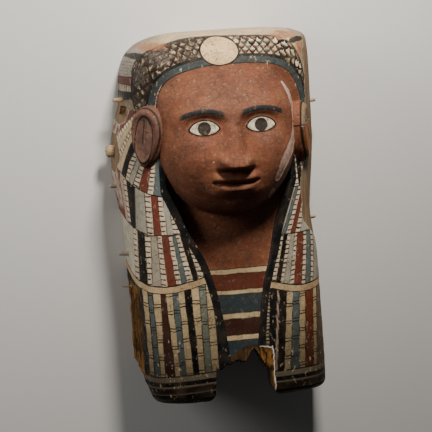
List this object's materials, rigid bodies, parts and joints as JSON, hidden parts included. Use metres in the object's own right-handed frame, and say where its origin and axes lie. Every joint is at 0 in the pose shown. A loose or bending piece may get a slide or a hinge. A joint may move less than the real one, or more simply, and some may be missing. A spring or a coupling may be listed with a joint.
{
  "type": "ancient egyptian mummy mask",
  "caption": "Hollow carved wooden funerary mask with a painted striped wig, petal fillet, ears, lappets and collar, lying on its open back with wooden pegs in its sides.",
  "frame": {"origin": "under the middle of the mask, pegs counted, on the surface that the open back lies on", "axes": "+Z out of the face, +Y towards the crown, +X towards the viewer's right"},
  "size_m": [0.2588, 0.4384, 0.1845],
  "materials": {
    "painted_wood": "plaster and matt paint on carved wood, worn to the wood along one side",
    "pin_wood": "raw aged wood"
  },
  "bodies": {
    "root": {"mask_shell": "painted_wood", "dowel_left_upper": "pin_wood", "tenon_left_middle": "pin_wood", "dowel_left_ear": "pin_wood", "dowel_left_shoulder": "pin_wood", "dowel_left_chest": "pin_wood", "dowel_right_upper": "pin_wood", "dowel_right_lower": "pin_wood"}
  },
  "joints": []
}
